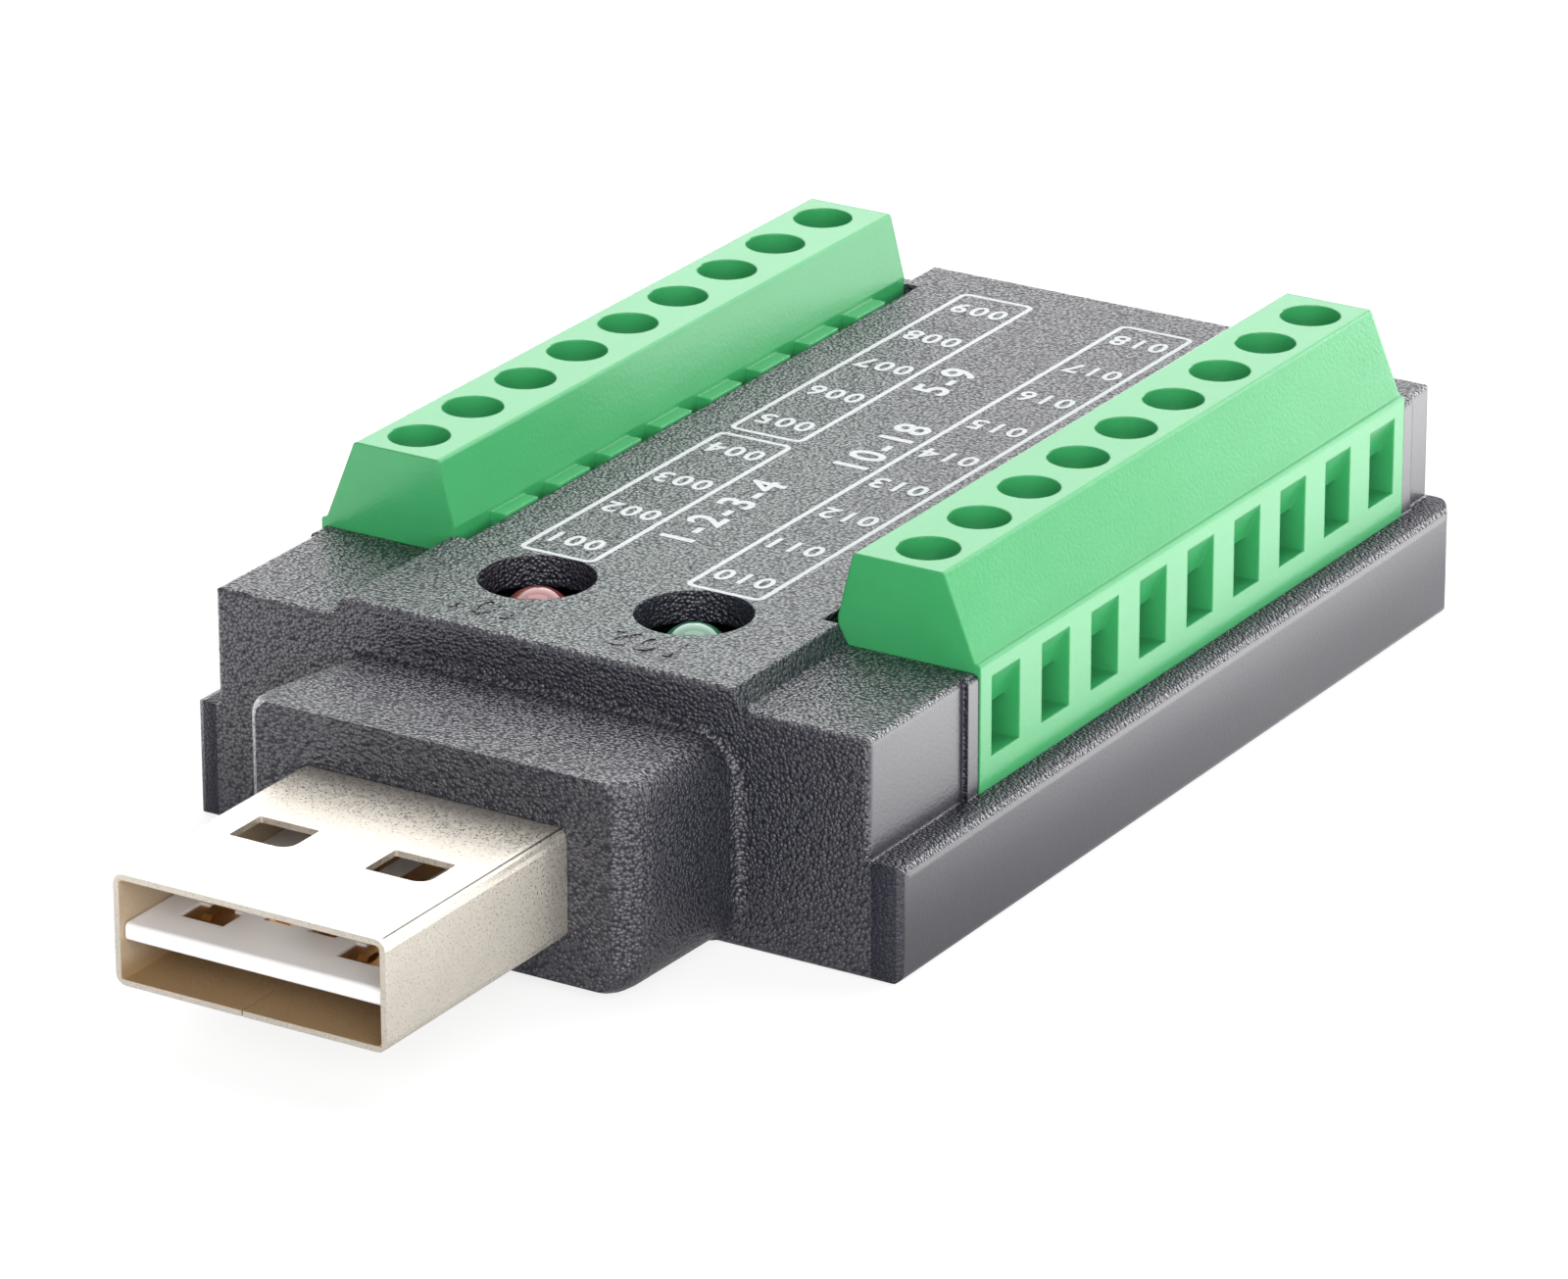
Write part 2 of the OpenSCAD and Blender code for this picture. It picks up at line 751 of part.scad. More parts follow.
// One contact strip: a plate with a bump in its window, a straight run and a tail on the board
module usb_contact(i) {
    dip = 0.04;
    front = mouth_y + window_y[i] + fit_clear;
    back = mouth_y + window_y[i] + window_len - fit_clear;
    plate_half = window_w[i] / 2 - fit_clear;
    bump_half = 0.22;
    crest = tongue_top + bump_h - contact_t / 2;
    third = (back - front) / 3;
    plate_z = contact_z - dip;
    tail_z = board_top + contact_t / 2;
    color("peru") {
        along_x(contact_x[i] - plate_half, contact_x[i] + plate_half)
            polygon(strip([[front, plate_z], [back, plate_z]], contact_t));
        along_x(contact_x[i] - bump_half, contact_x[i] + bump_half)
            polygon(strip([
                [front + third / 2, plate_z], [front + third, crest],
                [front + 2 * third, crest], [back - third / 2, plate_z]
            ], contact_t));
        along_x(contact_x[i] - contact_w / 2, contact_x[i] + contact_w / 2)
            polygon(strip([
                [back - third / 2, plate_z], [back + fit_clear, contact_z],
                [carrier_back + fit_clear, contact_z], [nose_y - fit_clear, tail_z],
                [nose_y + tail_len, tail_z]
            ], contact_t));
    }
}

// Middle of one terminal, counted from the plug's end
function way_y(k) = row_y + (k - 0.5) * pitch;

// The spaces in a terminal block for one clamp
module clamp_spaces(y) {
    throat = face_x - funnel_depth;
    bore_d = thread_d + 4 * slack;
    // Well for the screw's head, and the hole below its seat
    translate([screw_x, y, seat_z]) cylinder(d = well_d, h = roof_z - seat_z + over);
    translate([screw_x, y, chamber_top - over]) cylinder(d = bore_d, h = seat_t + 2 * over);
    // Chamber for the cage
    between(
        [screw_x - chamber_half, y - chamber_w / 2, chamber_z],
        [screw_x + chamber_half, y + chamber_w / 2, chamber_top]
    );
    // Slot for the contact bar's leg
    between(
        [leg_x - bar_t - slack, y - bar_half - slack, board_top - over],
        [screw_x - chamber_half + over, y + bar_half + slack, bar_z + bar_t]
    );
    // Funnel and wire opening
    along_y(y - wire_w / 2, y + wire_w / 2)
        polygon([
            [screw_x, wire_z], [face_x + over, wire_z], [face_x + over, wire_z + funnel_h],
            [face_x, wire_z + funnel_h], [throat, wire_z + wire_h], [screw_x, wire_z + wire_h]
        ]);
}

module terminal_block(side) {
    ledge_z = wire_z + funnel_h + ledge_rise;
    fine_r = 0.15;
    color("mediumseagreen")
    on_side(side)
    difference() {
        union() {
            along_y(row_y, row_y + row_len)
                polygon(rounded([
                    [block_x, board_top, 0], [face_x, board_top, 0],
                    [face_x, ledge_z, fine_r], [face_x - ledge, ledge_z, 0],
                    [screw_x + roof_out, roof_z, fine_r], [screw_x - roof_in, roof_z, fine_r],
                    [block_x, roof_z - slope_h, fine_r]
                ]));
            // Teeth between the terminals, on the side of the panel
            for (k = [1 : ways - 1])
                between(
                    [tooth_x, row_y + k * pitch - tooth_len / 2, board_top],
                    [block_x + over, row_y + k * pitch + tooth_len / 2, panel_z + tooth_rise]
                );
        }
        for (k = [1 : ways]) clamp_spaces(way_y(k));
    }
}

// One bent bar: flat above the wire, with a leg that ends in a solder pin
module contact_bar(y) {
    inner = leg_x - bar_t;
    outer = screw_x + cage_len / 2 - 2 * slack;
    pin_out = 1.1;
    pin_point = 0.2;
    along_y(y - bar_half, y + bar_half)
        polygon([
            [inner, board_top], [leg_x, board_top], [leg_x, bar_z],
            [outer, bar_z], [outer, bar_z + bar_t], [inner, bar_z + bar_t]
        ]);
    along_y(y - pin_w / 2, y + pin_w / 2)
        polygon([
            [inner, board_bottom - pin_out], [pin_x, board_bottom - pin_out - pin_point],
            [leg_x, board_bottom - pin_out], [leg_x, board_top + over], [inner, board_top + over]
        ]);
}

module contact_bars(side) {
    color("lightgray")
    on_side(side)
        for (k = [1 : ways])
            union() contact_bar(way_y(k));
}

// Clamp cage: a strip folded into a ring round the wire and the bar, with the screw's thread on top
module clamp_cage(side, k) {
    y = way_y(k);
    fold = 0.3;
    inner = cage_half - cage_t;
    color("gainsboro")
    on_side(side)
    difference() {
        translate([0, y, 0])
            along_x(screw_x - cage_len / 2, screw_x + cage_len / 2)
            polygon(box_outline(
                [-cage_half, cage_bottom], [cage_half, cage_nut_z + cage_nut_t], [fold, fold]
            ));
        between(
            [screw_x - cage_len, y - inner, cage_bottom + cage_t],
            [screw_x + cage_len, y + inner, cage_nut_z]
        );
        translate([screw_x, y, cage_nut_z - over])
            cylinder(d = thread_d + 2 * slack, h = cage_nut_t + 2 * over);
    }
}

// Terminal screw, held between its seat and the contact bar
module terminal_screw(side, k) {
    bevel = 0.15;
    color("silver")
    on_side(side)
    translate([screw_x, way_y(k), 0])
    difference() {
        rotate_extrude()
            polygon([
                [0, screw_tip], [thread_d / 2 - bevel, screw_tip],
                [thread_d / 2, screw_tip + bevel], [thread_d / 2, head_z],
                [head_d / 2, head_z], [head_d / 2, head_z + head_h - bevel],
                [head_d / 2 - bevel, head_z + head_h], [0, head_z + head_h]
            ]);
        between(
            [-head_d, -driver_slot / 2, head_z + head_h - slot_depth],
            [head_d, driver_slot / 2, head_z + head_h + over]
        );
    }
}

// Round lamp on two leads, with a flat on one side of its rim
module lamp(x, tint) {
    rim_h = 1;
    lead_w = 0.5;
    lead_out = 1.2;
    rim_d = lamp_d + 2 * lamp_rim;
    color(tint)
    translate([x, lamp_y, board_top]) {
        difference() {
            cylinder(d = rim_d, h = rim_h);
            translate([0, lamp_d / 2 + lamp_rim, rim_h / 2])
                cube([rim_d, lamp_rim, 2 * rim_h], center = true);
        }
        cylinder(d = lamp_d, h = lamp_h);
        translate([0, 0, lamp_h]) sphere(d = lamp_d);
        for (lead = [-1, 1])
            translate([lead * lead_span / 2 - lead_w / 2, -lead_w / 2, -board_t - lead_out])
            cube([lead_w, lead_w, board_t + lead_out + over]);
    }
}

// Flat chip with bent leads along its two long sides, and its foot off the board
module chip(k) {
    pins = chip_pins[k];
    half = ((pins / 2 - 1) * chip_pitch + chip_end) / 2;
    foot = 0.1;
    draft = 0.08;
    lead_t = 0.12;
    mid = foot + chip_h / 2;
    bend_in = chip_w / 2 + 0.2;
    bend_out = chip_w / 2 + 0.4;
    color("darkslategray")
    translate([0, chip_y(k), board_top]) {
        along_y(-chip_w / 2, chip_w / 2)
            polygon([
                [-half + draft, foot], [half - draft, foot], [half, mid],
                [half - draft, foot + chip_h], [-half + draft, foot + chip_h], [-half, mid]
            ]);
        for (turn = [0, 180], i = [1 : pins / 2])
            rotate([0, 0, turn])
            translate([(i - (pins / 2 + 1) / 2) * chip_pitch, 0, 0])
            along_x(-chip_lead / 2, chip_lead / 2)
            polygon(strip([
                [chip_w / 2 - lead_t, mid], [bend_in, mid], [bend_out, lead_t / 2],
                [chip_span / 2, lead_t / 2]
            ], lead_t));
    }
}

// Crystal: a ceramic base with a metal lid
module crystal() {
    rim = 0.25;
    base_h = can_h * 0.6;
    fine_r = 0.2;
    color("silver")
    translate([0, crystal_y, board_top]) {
        linear_extrude(base_h)
            polygon(box_outline([-can_len / 2, -can_w / 2], [can_len / 2, can_w / 2], [fine_r, fine_r]));
        linear_extrude(can_h)
            polygon(box_outline(
                [rim - can_len / 2, rim - can_w / 2], [can_len / 2 - rim, can_w / 2 - rim],
                [fine_r, fine_r]
            ));
    }
}

// One chip part: a small body with wrapped metal ends
module chip_part(x, y, h) {
    cap = 0.3;
    wrap = 0.03;
    translate([x, y, board_top]) {
        between([-part_len / 2, wrap - part_w / 2, 0], [part_len / 2, part_w / 2 - wrap, h - wrap]);
        for (end = [-part_len / 2, part_len / 2 - cap])
            between([end, -part_w / 2, 0], [end + cap, part_w / 2, h]);
    }
}
module chip_capacitors() {
    color("tan")
        for (k = [0 : len(chip_pins) - 1], at = [-0.5, 0.5])
            chip_part(at * parts_reach, gap_y(k), capacitor_h);
}
module chip_resistors() {
    color("black")
        for (k = [0 : len(chip_pins) - 1], at = [-1, 0, 1])
            chip_part(at * parts_reach, gap_y(k), resistor_h);
}

upper_housing();
bottom_cover();
circuit_board();
usb_sleeve();
usb_insulator();
for (i = [0 : 3]) usb_contact(i);
for (side = sides) terminal_block(side);
for (side = sides) contact_bars(side);
lamp(-lamp_span / 2, "indianred");  // power_lamp
lamp(lamp_span / 2, "seagreen");  // data_lamp
chip(0);  // bridge_chip
chip(1);  // line_driver_chip
chip(2);  // bus_driver_chip
crystal();
chip_capacitors();
chip_resistors();
for (side = sides, k = [1 : ways])
    terminal_screw(side, k);
for (side = sides, k = [1 : ways])
    clamp_cage(side, k);
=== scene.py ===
"""Looks of the adapter module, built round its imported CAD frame.

Metres, +Z up, and the plug points along -Y.
"""

import math

import bmesh
import bpy
import numpy as np
from mathutils import Matrix, Vector


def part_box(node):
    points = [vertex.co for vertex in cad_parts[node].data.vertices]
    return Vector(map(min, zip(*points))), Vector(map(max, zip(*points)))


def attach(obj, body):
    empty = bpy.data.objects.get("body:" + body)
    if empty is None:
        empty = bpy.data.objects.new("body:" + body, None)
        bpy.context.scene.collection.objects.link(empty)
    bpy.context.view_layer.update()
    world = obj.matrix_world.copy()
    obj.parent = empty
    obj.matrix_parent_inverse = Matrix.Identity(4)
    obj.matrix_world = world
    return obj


MM = 0.001
PHOTO_WIDTH = 1600
INK_THICK = 0.015 * MM

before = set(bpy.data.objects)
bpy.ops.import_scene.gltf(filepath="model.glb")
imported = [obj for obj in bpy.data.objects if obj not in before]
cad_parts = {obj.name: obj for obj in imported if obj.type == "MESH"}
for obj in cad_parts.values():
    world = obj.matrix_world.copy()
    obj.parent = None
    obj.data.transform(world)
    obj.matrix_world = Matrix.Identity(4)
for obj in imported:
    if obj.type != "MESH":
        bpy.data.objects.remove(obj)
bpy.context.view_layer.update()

# Places that the frame gives
panel_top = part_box("upper_housing")[1][2]
sleeve_low, sleeve_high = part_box("usb_sleeve")
row_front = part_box("terminal_block_right")[0][1]
lamp_low, lamp_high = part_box("power_lamp")


# Materials

def linear(code):
    """Linear red, green, blue and alpha of an sRGB hex value."""
    parts = np.array([int(code[at:at + 2], 16) for at in (1, 3, 5)]) / 255
    shade = np.where(parts <= 0.04045, parts / 12.92, ((parts + 0.055) / 1.055) ** 2.4)
    return (*shade.tolist(), 1.0)


def add(tree, kind, inputs=None, out=0, **settings):
    """Adds a shader node with its settings and links, and gives the output that is asked for.

    A socket goes by its name, or by its place where a node has several of one name. Only the
    sockets that the settings leave in use count.
    """
    node = tree.nodes.new("ShaderNode" + kind)
    for name, value in settings.items():
        setattr(node, name, value)

    def socket(row, key):
        used = [one for one in row if one.enabled]
        return used[key] if isinstance(key, int) else next(one for one in used if one.name == key)

    for key, value in (inputs or {}).items():
        if isinstance(value, bpy.types.NodeSocket):
            tree.links.new(value, socket(node.inputs, key))
        else:
            socket(node.inputs, key).default_value = value
    return socket(node.outputs, out) if len(node.outputs) else None


def new_material(name):
    """An empty material with the object coordinates that its patterns follow, in metres."""
    material = bpy.data.materials.new(name)
    material.use_nodes = True
    material.node_tree.nodes.clear()
    return material, material.node_tree, add(material.node_tree, "TexCoord", out="Object")


def eroded_abs():
    """Black ABS moulded in a spark-eroded tool.

    The eroded craters leave glossy beads about 0.15 mm apart, each of which catches the light as a
    point, and little light comes back from between them. The high spots of the fine pits are a
    lighter grey, as wear and as painted glints, and the bead tips on the upward faces are painted
    lighter grey as a painted sheen, kept off the narrow ledge over the skirt, which is duller. The
    tool's outer side walls were ground, so those faces are smooth.
    """
    material, tree, place = new_material("abs_black_spark_eroded")
    bead, pit, cloud_size = 0.15 * MM, 0.08 * MM, 5 * MM
    relief, edge_round = 0.034 * MM, 0.14 * MM
    bead_share, ground_share = 2.4, 0.06
    ground_from, ground_fade = 14.5 * MM, 0.1 * MM
    ledge_from, ledge_fade = 14.95 * MM, 0.05 * MM
    tip_gloss, gap_gloss, ledge_gloss, ground_gloss = 0.82, 0.2, 0.12, 0.5

    # Ground side walls, upward faces and the ledge
    across = add(tree, "SeparateXYZ", {"Vector": place}, out="X")
    across = add(tree, "Math", {0: across}, operation="ABSOLUTE")
    facing = add(tree, "NewGeometry", out="True Normal")
    sideways = add(tree, "SeparateXYZ", {"Vector": facing}, out="X")
    sideways = add(tree, "Math", {0: sideways}, operation="ABSOLUTE")
    sideways = add(tree, "MapRange", {"Value": sideways, "From Min": 0.75, "From Max": 0.95})
    upward = add(tree, "SeparateXYZ", {"Vector": facing}, out="Z")
    upward = add(tree, "MapRange", {"Value": upward, "From Min": 0.6, "From Max": 0.95})
    outer = add(tree, "MapRange", {
        "Value": across, "From Min": ground_from, "From Max": ground_from + ground_fade,
    })
    ground = add(tree, "Math", {0: outer, 1: sideways}, operation="MULTIPLY")
    ledge = add(tree, "MapRange", {
        "Value": across, "From Min": ledge_from, "From Max": ledge_from + ledge_fade,
    })
    off_ledge = add(tree, "Math", {0: 1.0, 1: ledge}, operation="SUBTRACT")

    # Round beads with fine pits between and on them, almost gone where the tool was ground
    reach = add(tree, "TexVoronoi", {"Vector": place, "Scale": 1 / bead}, out="Distance")
    beads = add(tree, "Math", {0: reach, 1: reach}, operation="MULTIPLY")
    pits = add(tree, "TexNoise", {
        "Vector": place, "Scale": 1 / pit, "Detail": 2.0, "Roughness": 0.6,
    })
    height = add(tree, "Math", {0: beads, 1: -bead_share, 2: pits}, operation="MULTIPLY_ADD")
    depth = add(tree, "MapRange", {"Value": ground, "To Min": 1.0, "To Max": ground_share})
    eased = add(tree, "Bevel", {"Radius": edge_round}, samples=6)
    normal = add(tree, "Bump", {
        "Height": height, "Distance": relief, "Strength": depth, "Normal": eased,
    })

    # Clouded black, lighter on the high spots as wear and painted glints, and a painted sheen of
    # lighter grey on the bead tips of the upward faces
    cloud = add(tree, "TexNoise", {"Vector": place, "Scale": 1 / cloud_size, "Detail": 3.0})
    color = add(tree, "Mix", {
        "Factor": cloud, "A": linear("#1e1e28"), "B": linear("#24242f"),
    }, data_type="RGBA")
    # Wear and painted glints: a lighter grey on the high spots of the fine pits
    wear_and_glints = add(tree, "MapRange", {
        "Value": pits, "From Min": 0.6, "From Max": 0.72, "To Max": 0.8,
    })
    color = add(tree, "Mix", {
        "Factor": wear_and_glints, "A": color, "B": linear("#414249"),
    }, data_type="RGBA")
    # Painted sheen: the bead tips of the upward faces are painted lighter grey, but not on the
    # ledge
    painted_sheen = add(tree, "MapRange", {
        "Value": reach, "From Min": 0.22, "From Max": 0.5, "To Min": 1.0, "To Max": 0.0,
    })
    painted_sheen = add(tree, "Math", {0: painted_sheen, 1: upward}, operation="MULTIPLY")
    painted_sheen = add(tree, "Math", {0: painted_sheen, 1: off_ledge}, operation="MULTIPLY")
    color = add(tree, "Mix", {
        "Factor": painted_sheen, "A": color, "B": linear("#696a6e"),
    }, data_type="RGBA")

    # Gloss that comes from the tips, around the level that the export gives the whole surface
    gloss = add(tree, "MapRange", {
        "Value": reach, "From Min": 0.2, "From Max": 0.75, "To Min": tip_gloss, "To Max": gap_gloss,
    })
    gloss = add(tree, "Mix", {"Factor": ledge, "A": gloss, "B": ledge_gloss}, data_type="FLOAT")
    gloss = add(tree, "Mix", {"Factor": ground, "A": gloss, "B": ground_gloss}, data_type="FLOAT")
    shade = add(tree, "BsdfPrincipled", {
        "Base Color": color, "Normal": normal, "IOR": 1.72, "Specular IOR Level": gloss,
        "Roughness": add(tree, "MapRange", {"Value": cloud, "To Min": 0.24, "To Max": 0.34}),
    })
    add(tree, "OutputMaterial", {"Surface": shade})
    return material


def moulded_polyamide():
    """Green polyamide 66 moulded in a polished tool.

    It is satin, lets a little light in, green light furthest, and shows faint flow marks that are
    drawn out along the row. The skin's real grain is finer than a pixel, so it is drawn 0.16 mm
    wide.
    """
    material, tree, place = new_material("polyamide_green_moulded")
    grain, flow_mark, cloud_size = 0.16 * MM, 1.2 * MM, 6 * MM
    relief, edge_round = 0.006 * MM, 0.12 * MM
    along_row = (1, 0.2, 1)
    drawn_out = add(tree, "Mapping", {"Vector": place, "Scale": along_row})
    fine = add(tree, "TexNoise", {"Vector": place, "Scale": 1 / grain})
    flow = add(tree, "TexNoise", {"Vector": drawn_out, "Scale": 1 / flow_mark, "Detail": 3.0})
    cloud = add(tree, "TexNoise", {"Vector": place, "Scale": 1 / cloud_size})
    color = add(tree, "Mix", {
        "Factor": flow, "A": linear("#369458"), "B": linear("#3b9c5e"),
    }, data_type="RGBA")
    pale = add(tree, "MapRange", {
        "Value": cloud, "From Min": 0.35, "From Max": 0.75, "To Max": 0.3,
    })
    color = add(tree, "Mix", {
        "Factor": pale, "A": color, "B": linear("#42a066"),
    }, data_type="RGBA")
    height = add(tree, "Math", {0: flow, 1: 2.0, 2: fine}, operation="MULTIPLY_ADD")
    eased = add(tree, "Bevel", {"Radius": edge_round}, samples=6)
    shade = add(tree, "BsdfPrincipled", {
        "Base Color": color, "IOR": 1.43,
        "Roughness": add(tree, "MapRange", {"Value": fine, "To Min": 0.17, "To Max": 0.27}),
        "Normal": add(tree, "Bump", {"Height": height, "Distance": relief, "Normal": eased}),
        "Subsurface Weight": 0.06, "Subsurface Radius": (0.3, 1.0, 0.5),
        "Subsurface Scale": 0.5 * MM,
    })
    add(tree, "OutputMaterial", {"Surface": shade})
    return material


def moulded_plastic(name, dark, light, rough):
    """Small moulded or fired part, with an even fine skin and faint flow marks.

    The skin's real grain is finer than a pixel, so it is drawn 0.14 mm wide.
    """
    material, tree, place = new_material(name)
    grain, flow_mark = 0.14 * MM, 3 * MM
    relief, edge_round, spread = 0.004 * MM, 0.08 * MM, 0.06
    fine = add(tree, "TexNoise", {"Vector": place, "Scale": 1 / grain})
    flow = add(tree, "TexNoise", {"Vector": place, "Scale": 1 / flow_mark})
    color = add(tree, "Mix", {
        "Factor": flow, "A": linear(dark), "B": linear(light),
    }, data_type="RGBA")
    height = add(tree, "Math", {0: flow, 1: 3.0, 2: fine}, operation="MULTIPLY_ADD")
    eased = add(tree, "Bevel", {"Radius": edge_round}, samples=4)
    shade = add(tree, "BsdfPrincipled", {
        "Base Color": color, "IOR": 1.5,
        "Roughness": add(tree, "MapRange", {
            "Value": fine, "To Min": rough - spread, "To Max": rough + spread,
        }),
        "Normal": add(tree, "Bump", {"Height": height, "Distance": relief, "Normal": eased}),
    })
    add(tree, "OutputMaterial", {"Surface": shade})
    return material


def drawn_metal(name, dark, light, rough, grain_axis=1):
    """Plated sheet, wire or turned metal, with fine lines along one axis and a soft cloud.

    Real drawing lines are finer than a pixel, so they are drawn 0.1 mm wide.
    """
    material, tree, place = new_material(name)
    line_w, cloud_size = 0.1 * MM, 2.5 * MM
    relief, spread, line_stretch = 0.0015 * MM, 0.05, 0.05
    stretch = [1, 1, 1]
    stretch[grain_axis] = line_stretch
    along = add(tree, "Mapping", {"Vector": place, "Scale": stretch})
    lines = add(tree, "TexNoise", {"Vector": along, "Scale": 1 / line_w})
    cloud = add(tree, "TexNoise", {"Vector": place, "Scale": 1 / cloud_size})
    color = add(tree, "Mix", {
        "Factor": cloud, "A": linear(dark), "B": linear(light),
    }, data_type="RGBA")
    shade = add(tree, "BsdfPrincipled", {
        "Base Color": color, "Metallic": 1.0,
        "Roughness": add(tree, "MapRange", {
            "Value": lines, "To Min": rough - spread, "To Max": rough + spread,
        }),
        "Normal": add(tree, "Bump", {"Height": lines, "Distance": relief}),
    })
    add(tree, "OutputMaterial", {"Surface": shade})
    return material


def nickel_sleeve():
    """Nickel-plated steel sheet, rolled and folded.

    The rolled skin has a speckle that blurs what it mirrors, drawn 0.11 mm wide so that it shows. A
    dark line of painted shade runs along each upper fold, and the inside is dull and brownish,
    darkened as painted shade, more so towards its floor.
    """
    material, tree, place = new_material("steel_nickel_plated")
    half_w = sleeve_high[0]
    half_h = (sleeve_high[2] - sleeve_low[2]) / 2
    middle = (sleeve_low[2] + sleeve_high[2]) / 2
    speck, cloud_size, relief = 0.11 * MM, 1.5 * MM, 0.016 * MM
    sheet, sheet_fade = 0.22 * MM, 0.02 * MM
    fold_shade_at, fold_shade_w, fold_shade_tone = half_w - 0.27 * MM, 0.05 * MM, 0.85
    fold_from, fold_to = half_h - 0.12 * MM, half_h - 0.08 * MM
    rim, inside_shade_from, inside_shade_to = 0.4 * MM, -1.2 * MM, -1.9 * MM

    # How far a point is from the sleeve's middle plane and axis, and whether it is inside
    at = {axis: add(tree, "SeparateXYZ", {"Vector": place}, out=axis) for axis in "XYZ"}
    across = add(tree, "Math", {0: at["X"]}, operation="ABSOLUTE")
    above = add(tree, "Math", {0: at["Z"], 1: middle}, operation="SUBTRACT")
    rise = add(tree, "Math", {0: above}, operation="ABSOLUTE")
    in_width = add(tree, "MapRange", {
        "Value": across, "From Min": half_w - sheet, "From Max": half_w - sheet - sheet_fade,
    })
    in_height = add(tree, "MapRange", {
        "Value": rise, "From Min": half_h - sheet, "From Max": half_h - sheet - sheet_fade,
    })
    inside = add(tree, "Math", {0: in_width, 1: in_height}, operation="MULTIPLY")

    # Painted shade: a dark line on the upper face along each fold, from just behind the front rim
    painted_fold_shade = add(tree, "Math", {0: across, 1: fold_shade_at}, operation="SUBTRACT")
    painted_fold_shade = add(tree, "Math", {0: painted_fold_shade}, operation="ABSOLUTE")
    painted_fold_shade = add(tree, "MapRange", {"Value": painted_fold_shade, "From Min": fold_shade_w, "From Max": fold_shade_w / 2})
    on_top = add(tree, "MapRange", {"Value": above, "From Min": fold_from, "From Max": fold_to})
    painted_fold_shade = add(tree, "Math", {0: painted_fold_shade, 1: on_top}, operation="MULTIPLY")
    behind_rim = add(tree, "MapRange", {
        "Value": at["Y"], "From Min": sleeve_low[1], "From Max": sleeve_low[1] + rim,
    })
    painted_fold_shade = add(tree, "Math", {0: painted_fold_shade, 1: behind_rim}, operation="MULTIPLY")
    painted_fold_shade = add(tree, "Math", {0: painted_fold_shade, 1: fold_shade_tone}, operation="MULTIPLY")

    speckle = add(tree, "TexNoise", {
        "Vector": place, "Scale": 1 / speck, "Detail": 2.0, "Roughness": 0.7,
    })
    cloud = add(tree, "TexNoise", {"Vector": place, "Scale": 1 / cloud_size, "Detail": 3.0})
    color = add(tree, "Mix", {
        "Factor": cloud, "A": linear("#d2cbbf"), "B": linear("#dcd5cb"),
    }, data_type="RGBA")
    color = add(tree, "Mix", {
        "Factor": painted_fold_shade, "A": color, "B": linear("#3a3a38"),
    }, data_type="RGBA")
    # Painted shade: the inside is darker, and darker still towards its floor
    brown_shade = add(tree, "MapRange", {"Value": above, "From Min": inside_shade_from, "From Max": inside_shade_to})
    brown_shade = add(tree, "Mix", {
        "Factor": brown_shade, "A": linear("#b8a48a"), "B": linear("#a0835e"),
    }, data_type="RGBA")
    color = add(tree, "Mix", {"Factor": inside, "A": color, "B": brown_shade}, data_type="RGBA")
    blur = add(tree, "MapRange", {
        "Value": speckle, "From Min": 0.35, "From Max": 0.65, "To Min": 0.22, "To Max": 0.6,
    })
    blur = add(tree, "Math", {0: inside, 1: 0.15, 2: blur}, operation="MULTIPLY_ADD")
    shade = add(tree, "BsdfPrincipled", {
        "Base Color": color, "Roughness": blur,
        "Metallic": add(tree, "MapRange", {"Value": inside, "To Min": 0.86, "To Max": 0.25}),
        "Normal": add(tree, "Bump", {"Height": speckle, "Distance": relief}),
    })
    add(tree, "OutputMaterial", {"Surface": shade})
    return material


def cast_lens(name, dark, light):
    """Tinted epoxy, cast in a polished mould: a deep even colour under a bright skin."""
    material, tree, place = new_material(name)
    cloud_size = 0.8 * MM
    cloud = add(tree, "TexNoise", {"Vector": place, "Scale": 1 / cloud_size})
    color = add(tree, "Mix", {
        "Factor": cloud, "A": linear(dark), "B": linear(light),
    }, data_type="RGBA")
    shade = add(tree, "BsdfPrincipled", {
        "Base Color": color, "IOR": 1.54, "Transmission Weight": 0.15,
        "Roughness": add(tree, "MapRange", {"Value": cloud, "To Min": 0.06, "To Max": 0.12}),
        "Coat Weight": 0.6, "Coat Roughness": 0.05,
    })
    add(tree, "OutputMaterial", {"Surface": shade})
    return material


def printed_ink():
    """White two-part ink put on through a screen: matt, thin in spots and faintly uneven."""
    material, tree, place = new_material("ink_white_screen_printed")
    spot, relief = 0.18 * MM, 0.01 * MM
    uneven = add(tree, "TexNoise", {"Vector": place, "Scale": 1 / spot})
    thin = add(tree, "MapRange", {
        "Value": uneven, "From Min": 0.5, "From Max": 0.75, "To Max": 0.5,
    })
    color = add(tree, "Mix", {
        "Factor": thin, "A": linear("#b8bcbe"), "B": linear("#919598"),
    }, data_type="RGBA")
    shade = add(tree, "BsdfPrincipled", {
        "Base Color": color, "IOR": 1.5,
        "Roughness": add(tree, "MapRange", {"Value": uneven, "To Min": 0.5, "To Max": 0.65}),
        "Normal": add(tree, "Bump", {"Height": uneven, "Distance": relief}),
    })
    add(tree, "OutputMaterial", {"Surface": shade})
    return material


